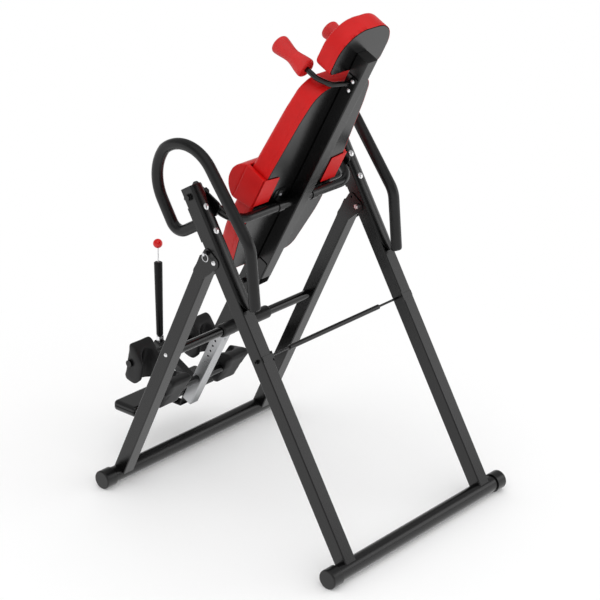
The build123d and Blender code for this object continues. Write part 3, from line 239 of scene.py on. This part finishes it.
# %% Bright metal
def plated(name, colour, low, high, scale, strength):
    finish, nodes, links, shader, where = new_finish(name, colour, low, 1.0)
    cloud = grain(nodes, links, where, scale, 3)
    links.new(between(nodes, links, cloud, low, high), shader.inputs["Roughness"])
    bump(nodes, links, shader, cloud, strength, 0.0002)
    return finish


polished_steel = plated("polished_steel", (0.90, 0.90, 0.91), 0.26, 0.34, 240, 0.05)
dull_steel = plated("dull_steel", (0.26, 0.26, 0.27), 0.34, 0.42, 240, 0.05)
zinc_plate = plated("zinc_plate", (0.74, 0.745, 0.755), 0.24, 0.38, 160, 0.1)

# %% [markdown]
# ### Red cover
# The cushions wear a matt red vinyl with a fine leather grain: small cells between creases, which a
# Voronoi texture gives, over wide and shallow folds. The red varies a little from place to place.

# %% Red cover
def vinyl(name, dark, light):
    finish, nodes, links, shader, where = new_finish(name, light, 0.5)
    shader.inputs["Specular IOR Level"].default_value = 0.3
    cells = nodes.new("ShaderNodeTexVoronoi")
    cells.feature = "SMOOTH_F1"
    cells.inputs["Scale"].default_value = 520
    links.new(where, cells.inputs["Vector"])
    cloud = grain(nodes, links, where, 14, 4)
    links.new(two_tone(nodes, links, cloud, dark, light), shader.inputs["Base Color"])
    links.new(between(nodes, links, cloud, 0.42, 0.48), shader.inputs["Roughness"])
    fold = bump(nodes, links, shader, grain(nodes, links, where, 45, 3), 0.07, 0.002)
    bump(nodes, links, shader, cells.outputs["Distance"], 0.3, 0.0004, fold)
    return finish


red_cover = vinyl("red_cover", (0.53, 0.001, 0.001), (0.59, 0.002, 0.002))

# %% [markdown]
# ## Dressing the frame
# The CAD parts already have the right shapes, so they only need their finishes. A part's material
# slots are set, and nothing else about it changes.

# %% Dress the CAD parts
FINISHES = {
    black_plastic: ["rear_foot_caps", "front_foot_caps", "rear_leg_plugs", "spine_plug", "pivot_spacers",
                    "guide_liners", "brace_sleeve"],
    board_plastic: ["back_board", "pillow_plate"],
    step_plastic: ["foot_plate"],
    polished_steel: ["saddle_bolts", "hinge_bolts", "cross_tube_bolts", "neck_bolts", "height_pin",
                     "lever_fork", "release_rod"],
    dull_steel: ["clamp_bolts"],
    zinc_plate: ["lock_ring_left", "lock_ring_right"],
    silver_coat: ["height_bar"],
    gloss_coat: ["neck_rods", "front_cross_tube"],
    red_gloss: ["release_ball"],
}
dressed = {node: finish for finish, nodes in FINISHES.items() for node in nodes}
for node, part in frame["nodes"].items():
    part.data.materials.clear()
    part.data.materials.append(dressed.get(node, black_coat))
print(len(frame["nodes"]), "parts dressed")

# %% [markdown]
# ## Soft goods
# Foam and cushions start from a copy of the plain CAD solid, so they sit exactly where it sits.
# The copy's loose triangles are merged and rebuilt as one even skin of small quads, which can
# stretch and bulge anywhere. A boolean or a sculpted shape would do as well, but the even skin is
# what a cloth simulation needs.

# %% Copy a CAD solid as one even skin
BED_BACK = BED.inverted()


def in_edit_mode(piece, *steps):
    """Runs edit-mode steps on the whole piece."""
    only(piece)
    bpy.ops.object.mode_set(mode="EDIT")
    bpy.ops.mesh.select_all(action="SELECT")
    for step in steps:
        step()
    bpy.ops.object.mode_set(mode="OBJECT")


def copy_of(node, name, place=Matrix.Identity(4)):
    """A merged copy of a CAD node's mesh, in the frame that place leads to."""
    piece = bpy.data.objects.new(name, frame["nodes"][node].data.copy())
    bpy.context.collection.objects.link(piece)
    piece.data.transform(place)
    in_edit_mode(piece, lambda: bpy.ops.mesh.remove_doubles(threshold=0.00002))
    return piece


def reskin(piece, size):
    """Rebuilds a piece as one closed skin of quads of about this size."""
    only(piece)
    piece.data.remesh_voxel_size = size
    piece.data.remesh_voxel_adaptivity = 0
    bpy.ops.object.voxel_remesh()
    bpy.ops.object.shade_smooth()


def apply(piece, kind, **settings):
    """Adds a modifier, sets it and applies it."""
    only(piece)
    modifier = piece.modifiers.new(kind.title(), kind)
    for key, value in settings.items():
        setattr(modifier, key, value)
    bpy.ops.object.modifier_apply(modifier=modifier.name)


def refine(piece, levels=1):
    """Rounds off the skin's quads."""
    apply(piece, "SUBSURF", levels=levels, render_levels=levels)
    bpy.ops.object.shade_smooth()
    print(piece.name, len(piece.data.polygons), "quads")


# %% [markdown]
# ## Blowing up a cushion
# A stuffed cover is a cloth bag with pressure inside. The simulation has no gravity, because the
# foam carries itself, and runs for twenty frames. How far each point may move is capped, so the
# cushion stays in its place, and the points that rest on something are held still.

# %% Cloth with pressure
LAST_FRAME = 20


def inflate(piece, held, cap, pressure=4.0):
    """Swells a skin like a stuffed cover; held gives how firmly a point stays, from 0 to 1."""
    only(piece)
    group = piece.vertex_groups.new(name="held")
    for point in piece.data.vertices:
        group.add([point.index], held(point.co), "REPLACE")
    start = [point.co.copy() for point in piece.data.vertices]
    cloth = piece.modifiers.new("Cloth", "CLOTH")
    cloth.settings.quality = 5
    cloth.settings.mass = 0.3
    cloth.settings.tension_stiffness = 12
    cloth.settings.compression_stiffness = 12
    cloth.settings.bending_stiffness = 0.5
    cloth.settings.use_pressure = True
    cloth.settings.uniform_pressure_force = pressure
    cloth.settings.vertex_group_mass = "held"
    cloth.settings.effector_weights.gravity = 0
    cloth.point_cache.frame_start = 1
    cloth.point_cache.frame_end = LAST_FRAME
    for frame_number in range(1, LAST_FRAME + 1):
        bpy.context.scene.frame_set(frame_number)
    blown = piece.evaluated_get(bpy.context.evaluated_depsgraph_get()).data
    moved = [point.co.copy() for point in blown.vertices]
    piece.modifiers.remove(cloth)
    bpy.context.scene.frame_set(1)
    furthest = 0.0
    for point, old, new in zip(piece.data.vertices, start, moved):
        step = new - old
        furthest = max(furthest, step.length)
        point.co = old + step * min(1.0, cap / max(step.length, 1e-9))
    piece.vertex_groups.clear()
    print(piece.name, "moved up to", round(furthest * 1000, 1), "mm, capped at", round(cap * 1000, 1))


def press_line(piece, depth, width, how_far, inward):
    """Presses a sewn line into a skin. how_far gives a point's distance to it, inward the way in."""
    for point in piece.data.vertices:
        near = how_far(point.co)
        if near < 3 * width:
            point.co += inward(point.co) * depth * math.exp(-((near / width) ** 2))


# %% [markdown]
# ## Back pad
# The pad is a slab of foam in a red cover. Its front is nearly free, its side wall is half held,
# and its back lies still on the board. The cover's edge is pulled straight back over the rim of the
# board. That hem is a thin closed band, cut from another copy of the CAD pad and joined to the skin.

# %% Back pad
PAD_REAR = 0.106
PAD_FRONT = 0.040
HEM_END = 0.1185
HEM_LAP = 0.004
HEM_SPREAD = 1.001
HEM_THICKNESS = 0.001
REAR_TOLERANCE = 0.0001


def hem(node, start, end):
    """The cover's edge, pulled straight back over the rim of the board: a thin band, closed."""
    band = copy_of(node, "hem", BED_BACK)
    rear = max(point.co.y for point in band.data.vertices)
    in_edit_mode(band, lambda: bpy.ops.mesh.bisect(
        plane_co=(0, start, 0), plane_no=(0, 1, 0), use_fill=False, clear_inner=True))
    only(band)
    bpy.ops.object.mode_set(mode="EDIT")
    bpy.ops.mesh.select_all(action="DESELECT")
    bpy.ops.object.mode_set(mode="OBJECT")
    for face in band.data.polygons:
        face.select = all(band.data.vertices[i].co.y > rear - REAR_TOLERANCE for i in face.vertices)
    bpy.ops.object.mode_set(mode="EDIT")
    bpy.ops.mesh.select_mode(type="FACE")
    bpy.ops.mesh.delete(type="FACE")
    bpy.ops.mesh.select_mode(type="VERT")
    bpy.ops.object.mode_set(mode="OBJECT")
    centre = sum(point.co.z for point in band.data.vertices) / len(band.data.vertices)
    for point in band.data.vertices:
        if point.co.y > rear - REAR_TOLERANCE:
            point.co.y = end
        point.co.x *= HEM_SPREAD
        point.co.z = centre + (point.co.z - centre) * HEM_SPREAD
    apply(band, "SOLIDIFY", thickness=HEM_THICKNESS, offset=-1.0)
    bpy.ops.object.shade_smooth_by_angle(angle=math.radians(40))
    return band


def sewn_pad(node, name, rear, front, cap, voxel):
    """A flat cushion: slimmed in depth, skinned, blown up and smoothed, with its hem joined on."""
    on_board = rear - 1.3 * voxel
    side_wall = front + 2.2 * voxel

    def held(co):
        if co.y > on_board:
            return 1.0
        return 0.5 if co.y > side_wall else 0.1

    pad = copy_of(node, name, BED_BACK)
    for point in pad.data.vertices:
        point.co.y = rear + (point.co.y - rear) * (1 - cap / (rear - front))
    reskin(pad, voxel)
    inflate(pad, held, cap)
    apply(pad, "SMOOTH", factor=0.5, iterations=4)
    refine(pad)
    band = hem(node, rear - HEM_LAP, HEM_END)
    only(pad)
    band.select_set(True)
    bpy.ops.object.join()
    return pad


back_cushion = sewn_pad("back_pad", "back_cushion", PAD_REAR, PAD_FRONT, cap=0.003, voxel=0.0065)
settle(back_cushion, "back_cushion", "bed", red_cover, BED)
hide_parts("back_pad")

# %% [markdown]
# ## Head pillow
# The pillow is a D of foam in the same cover, on a thin moulded plate. It is made as the back pad
# is, with smaller quads, because it is smaller and its corners are tighter.

# %% Head pillow
PILLOW_REAR = 0.113
PILLOW_FRONT = 0.045

pillow = sewn_pad("head_pillow", "pillow", PILLOW_REAR, PILLOW_FRONT, cap=0.003, voxel=0.005)
settle(pillow, "pillow", "bed", red_cover, BED)
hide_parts("head_pillow")

# %% [markdown]
# ## Lumbar cushion
# A half-round bolster lies across the pad. Its two flat end panels are sewn to the round front and
# fold round the board's edge, where a flap of doubled cover is pinned behind the board. The flaps
# are far thinner than a quad of the skin, so they are cut off the copy and made separately, each from a
# cube. The end panels are thickened inwards, so that the skin holds them, and a seam is pressed into
# each.

# %% Lumbar cushion
FLAP_CREASE = 0.118
END_PANEL = 0.2055
PANEL_INSIDE = 0.1915
PAD_SIDE = 0.197
PAD_FACE = 0.034
ROLL_SEAM = 0.038
SEAM_PANEL = 0.202
SEAM_DEPTH = 0.0022
SEAM_WIDTH = 0.0021


def cut_behind(piece, depth):
    """Cuts off what lies behind a plane of the bed, and closes the cut."""
    in_edit_mode(piece, lambda: bpy.ops.mesh.bisect(
        plane_co=(0, depth, 0), plane_no=(0, 1, 0), use_fill=True, clear_outer=True))


bolster = copy_of("lumbar_roll", "bolster", BED_BACK)
for point in bolster.data.vertices:
    if 0.190 < abs(point.co.x) < 0.1955:
        point.co.x = math.copysign(PANEL_INSIDE, point.co.x)
cut_behind(bolster, FLAP_CREASE)
reskin(bolster, 0.0035)
inflate(bolster, lambda co: 1.0 if abs(co.x) < PAD_SIDE and co.y > PAD_FACE else 0.3, cap=0.0025)
apply(bolster, "SMOOTH", factor=0.5, iterations=2)
refine(bolster)
for side in (-1, 1):
    press_line(bolster, SEAM_DEPTH, SEAM_WIDTH,
               lambda co: math.hypot(co.y - ROLL_SEAM, max(0.0, SEAM_PANEL - side * co.x)),
               lambda co: Vector((-side, 0, 0)))

# %% Flaps behind the board
FLAP_TOP = 0.1165
FLAP_LOW = 0.003
FLAP_TIP = 0.129
FLAP_INSET = 0.0025
FLAP_TAPER = 0.008
FLAP_FRONT = 0.0027
FLAP_REAR = 0.0058


def flap(side):
    """A doubled tongue of cover, softly rounded, from the end panel's crease to its pinned edge."""
    deselect_all()
    # The red cover reads Object coordinates, so the cube is added without a UV map.
    bpy.ops.mesh.primitive_cube_add(size=1, calc_uvs=False, location=(0, 0, 0))
    tongue = bpy.context.object
    for corner in tongue.data.vertices:
        outer = corner.co.x > 0
        high = corner.co.z > 0
        corner.co.x = side * ((END_PANEL - FLAP_INSET) if outer else FLAP_TIP)
        corner.co.z = (FLAP_TOP if outer else FLAP_TOP - FLAP_TAPER) if high else FLAP_LOW
        corner.co.y = FLAP_CREASE + (FLAP_REAR if corner.co.y > 0 else FLAP_FRONT)
    in_edit_mode(tongue, lambda: bpy.ops.mesh.normals_make_consistent(inside=False),
                 lambda: bpy.ops.mesh.bevel(offset=0.0013, segments=3, affect="EDGES"))
    in_edit_mode(tongue, lambda: bpy.ops.mesh.subdivide(number_cuts=2))
    return tongue


flaps = [flap(1), flap(-1)]
only(bolster)
for tongue in flaps:
    tongue.select_set(True)
bpy.ops.object.join()
settle(bolster, "lumbar_cushion", "bed", red_cover, BED)
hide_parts("lumbar_roll")

# %% [markdown]
# ## Foam grips
# The side handles, the rest roll and the lever wear extruded foam sleeves; the two grips beside the
# pillow are moulded to a waist. Foam has no seams and isn't blown up: its skin is only smoothed.


def foam_piece(node, name, body, finish, voxel):
    """A foam part: one skin over the CAD solid, smoothed so that its cut edges turn soft."""
    foam = copy_of(node, name)
    reskin(foam, voxel)
    apply(foam, "SMOOTH", factor=0.5, iterations=6)
    refine(foam)
    settle(foam, name, body, finish)
    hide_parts(node)
    return foam


foam_piece("handle_foam_left", "handle_sleeve_left", "rear_stand", grip_foam, 0.0043)
foam_piece("handle_foam_right", "handle_sleeve_right", "rear_stand", grip_foam, 0.0043)
foam_piece("cross_tube_sleeve", "rest_roll", "front_stand", grip_foam, 0.003)
foam_piece("neck_grips", "neck_foam", "bed", red_foam, 0.0025)
foam_piece("lever_grip", "lever_sleeve", "carriage", lever_foam, 0.0022)

# %% [markdown]
# ## Ankle cups
# Each cup is moulded in one piece of dense foam with a skin: a thick web on its axle and two lips
# round a groove. Smoothing alone would leave the lips angular, so three corners of the side view are
# drawn in to arcs first. Then the cup is blown up a little, with the bore of the axle held.

# %% Round a corner of a side view
def round_corner(piece, before, corner, after, radius):
    """Draws a corner of the side view (Y, Z) in to an arc. Points inside follow in proportion."""
    before, corner, after = Vector(before), Vector(corner), Vector(after)
    first = (before - corner).normalized()
    second = (after - corner).normalized()
    half = first.angle(second) / 2
    centre = corner + (first + second).normalized() * radius / math.sin(half)
    outward = (corner - centre).normalized()
    reach = math.pi / 2 - half
    for point in piece.data.vertices:
        arm = Vector((point.co.y, point.co.z)) - centre
        turn = arm.angle(outward, math.pi)
        if turn < reach:
            arm *= math.cos(reach - turn)
            point.co.y, point.co.z = centre.x + arm.x, centre.y + arm.y


# %% Ankle cups
CUP_BACK = -0.019
CUP_TOP = 0.075
CUP_REACH = 0.060
BACK_TOP = (CUP_BACK, CUP_TOP)
LIP_TOP = (0.004, CUP_TOP)
NOSE_TOP = (CUP_REACH, 0.022)
NOSE_LOW = (CUP_REACH, -0.041)
LIP_LOW = (0.033, -CUP_TOP)
BACK_LOW = (CUP_BACK, -0.073)
LIP_ROUND = 0.030
BACK_ROUND = 0.016
BORE_HELD = 0.016
BORE_CLEAR = 0.020


def ankle_cup(node, name, body, axle, tilt, forward):
    """A foam cup, rounded and slightly crowned, held still round its axle."""
    stance = Matrix.Translation(axle) @ Matrix.Rotation(math.radians(tilt) - BED_LEAN, 4, "X")
    if not forward:
        stance = stance @ Matrix.Rotation(math.pi, 4, "Z")
    cup = copy_of(node, name, stance.inverted())
    reskin(cup, 0.004)
    round_corner(cup, BACK_TOP, LIP_TOP, NOSE_TOP, LIP_ROUND)
    round_corner(cup, NOSE_LOW, LIP_LOW, BACK_LOW, LIP_ROUND)
    round_corner(cup, LIP_LOW, BACK_LOW, BACK_TOP, BACK_ROUND)
    inflate(cup, lambda co: 1.0 if math.hypot(co.y, co.z) < BORE_HELD else 0.0, cap=0.0025, pressure=3.0)
    free = cup.vertex_groups.new(name="free")
    for point in cup.data.vertices:
        if math.hypot(point.co.y, point.co.z) > BORE_CLEAR:
            free.add([point.index], 1.0, "REPLACE")
    apply(cup, "SMOOTH", factor=0.5, iterations=10, vertex_group="free")
    cup.vertex_groups.clear()
    refine(cup)
    settle(cup, name, body, cup_foam, stance)
    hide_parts(node)


FRONT_TILT = 16
REAR_TILT = -6
for row, tilt, forward in (("front", FRONT_TILT, True), ("rear", REAR_TILT, False)):
    for hand in ("left", "right"):
        ankle_cup(f"{row}_holder_{hand}", f"{row}_cup_{hand}", f"cup_{row}_{hand}",
                  joint_at[f"{row}_{hand}_cup_turn"], tilt, forward)

# %% [markdown]
# ## The studio
# The machine stands in a bright room with a pale floor. Round the machine the floor is white paper
# that takes its soft shadow, and further out it fades into plain white for the camera. Shiny things
# mirror it as white at full strength. The room is even white to the camera and as a light, but in a
# mirror its walls darken towards the ceiling, so that tubes show a shaded side. Two large lamps only
# add a little direction, so that shadows stay soft and colours stay as mixed.

# %% Floor
deselect_all()
bpy.ops.mesh.primitive_plane_add(size=60, location=(0, 0, 0))
studio_floor = bpy.context.object
studio_floor.name = "studio_floor"
paper = bpy.data.materials.new("studio_paper")
paper.use_nodes = True
sheets = paper.node_tree.nodes
ties = paper.node_tree.links
surface = sheets["Principled BSDF"]
surface.inputs["Base Color"].default_value = (0.95, 0.95, 0.95, 1)
surface.inputs["Roughness"].default_value = 0.5
surface.inputs["Specular IOR Level"].default_value = 0.2


def either(nodes, links, first, second):
    """The larger of two values."""
    node = nodes.new("ShaderNodeMath")
    node.operation = "MAXIMUM"
    links.new(first, node.inputs[0])
    links.new(second, node.inputs[1])
    return node.outputs[0]


def both_of(nodes, links, first, second):
    """The product of two values."""
    node = nodes.new("ShaderNodeMath")
    node.operation = "MULTIPLY"
    links.new(first, node.inputs[0])
    links.new(second, node.inputs[1])
    return node.outputs[0]


def spread(nodes, links, value, start, end, low, high):
    """A soft step from low to high as the value goes from start to end."""
    step = nodes.new("ShaderNodeMapRange")
    step.interpolation_type = "SMOOTHSTEP"
    step.inputs["From Min"].default_value = start
    step.inputs["From Max"].default_value = end
    step.inputs["To Min"].default_value = low
    step.inputs["To Max"].default_value = high
    links.new(value, step.inputs["Value"])
    return step.outputs["Result"]


def choose(nodes, links, switch, off, on):
    """Gives the first value where a switch is 0 and the second where it is 1: numbers or sockets."""
    node = nodes.new("ShaderNodeMapRange")
    links.new(switch, node.inputs["Value"])
    for name, value in (("To Min", off), ("To Max", on)):
        if isinstance(value, float):
            node.inputs[name].default_value = value
        else:
            links.new(value, node.inputs[name])
    return node.outputs["Result"]


place = sheets.new("ShaderNodeTexCoord")
reach = sheets.new("ShaderNodeVectorMath")
reach.operation = "LENGTH"
ties.new(place.outputs["Object"], reach.inputs[0])
PAPER_EDGE = 0.75
WHITE_FROM = 1.9
fade = spread(sheets, ties, reach.outputs["Value"], PAPER_EDGE, WHITE_FROM, 0.1, 1.0)
rays = sheets.new("ShaderNodeLightPath").outputs
mirrored = either(sheets, ties, rays["Is Glossy Ray"], rays["Is Transmission Ray"])
share = either(sheets, ties, mirrored, both_of(sheets, ties, fade, rays["Is Camera Ray"]))
white = sheets.new("ShaderNodeEmission")
mixed = sheets.new("ShaderNodeMixShader")
ties.new(share, mixed.inputs["Fac"])
ties.new(surface.outputs["BSDF"], mixed.inputs[1])
ties.new(white.outputs["Emission"], mixed.inputs[2])
ties.new(mixed.outputs["Shader"], sheets["Material Output"].inputs["Surface"])
studio_floor.data.materials.append(paper)

# %% Room
room = bpy.data.worlds.new("studio_room")
bpy.context.scene.world = room
room.use_nodes = True
sky = room.node_tree.nodes
wires = room.node_tree.links
backdrop = sky["Background"]
backdrop.inputs["Color"].default_value = (1, 1, 1, 1)
glance = sky.new("ShaderNodeLightPath").outputs
mirrored = either(sky, wires, glance["Is Glossy Ray"], glance["Is Transmission Ray"])
sight = sky.new("ShaderNodeTexCoord")
height = sky.new("ShaderNodeSeparateXYZ")
wires.new(sight.outputs["Generated"], height.inputs["Vector"])
WALL_TOP = 0.06
CEILING_FROM = 0.30
CEILING_STRENGTH = 0.38
ceiling = spread(sky, wires, height.outputs["Z"], WALL_TOP, CEILING_FROM, 1.0, CEILING_STRENGTH)
soft = choose(sky, wires, mirrored, 1.0, ceiling)
wires.new(choose(sky, wires, glance["Is Camera Ray"], soft, 1.0), backdrop.inputs["Strength"])


# %% Lamps
def soft_lamp(name, place, target, size, watts):
    deselect_all()
    bpy.ops.object.light_add(type="AREA", location=place)
    lamp = bpy.context.object
    lamp.name = name
    lamp.data.shape = "SQUARE"
    lamp.data.size = size
    lamp.data.energy = watts
    lamp.rotation_euler = (Vector(target) - Vector(place)).to_track_quat("-Z", "Y").to_euler()
    return lamp


soft_lamp("top_lamp", (1.2, 1.6, 5.2), (0, 0, 0.6), 6.0, 48)
soft_lamp("back_lamp", (-3.4, 3.2, 2.2), (0, 0, 0.8), 2.2, 20)

# %% [markdown]
# ## The camera
# A long lens from behind the machine's left shoulder, a little above it. The turn about the view's
# own axis is a third of a degree, as a hand-held or hand-placed camera has.

# %% Camera
CAMERA_TURN = math.radians(130.816)
CAMERA_RISE = math.radians(22.471)
CAMERA_ROLL = math.radians(0.359)
CAMERA_SIDE = 4.7032
CAMERA_BEHIND = 4.0543
CAMERA_HEIGHT = 3.2734
SENSOR_WIDTH = 36
PICTURE_WIDTH = 600
LENS_IN_PIXELS = 2014.55
deselect_all()
floor_middle = (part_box("rear_floor_tube")[0].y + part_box("front_floor_tube")[1].y) / 2
bpy.ops.object.camera_add(location=(CAMERA_SIDE, CAMERA_BEHIND + floor_middle, CAMERA_HEIGHT))
camera = bpy.context.object
aim = Matrix.Rotation(CAMERA_TURN, 4, "Z") @ Matrix.Rotation(math.pi / 2 - CAMERA_RISE, 4, "X")
camera.rotation_euler = (aim @ Matrix.Rotation(CAMERA_ROLL, 4, "Z")).to_euler()
camera.data.sensor_width = SENSOR_WIDTH
camera.data.lens = LENS_IN_PIXELS * SENSOR_WIDTH / PICTURE_WIDTH
camera.data.clip_end = 100
bpy.context.scene.camera = camera
bpy.context.scene.view_settings.view_transform = "Standard"
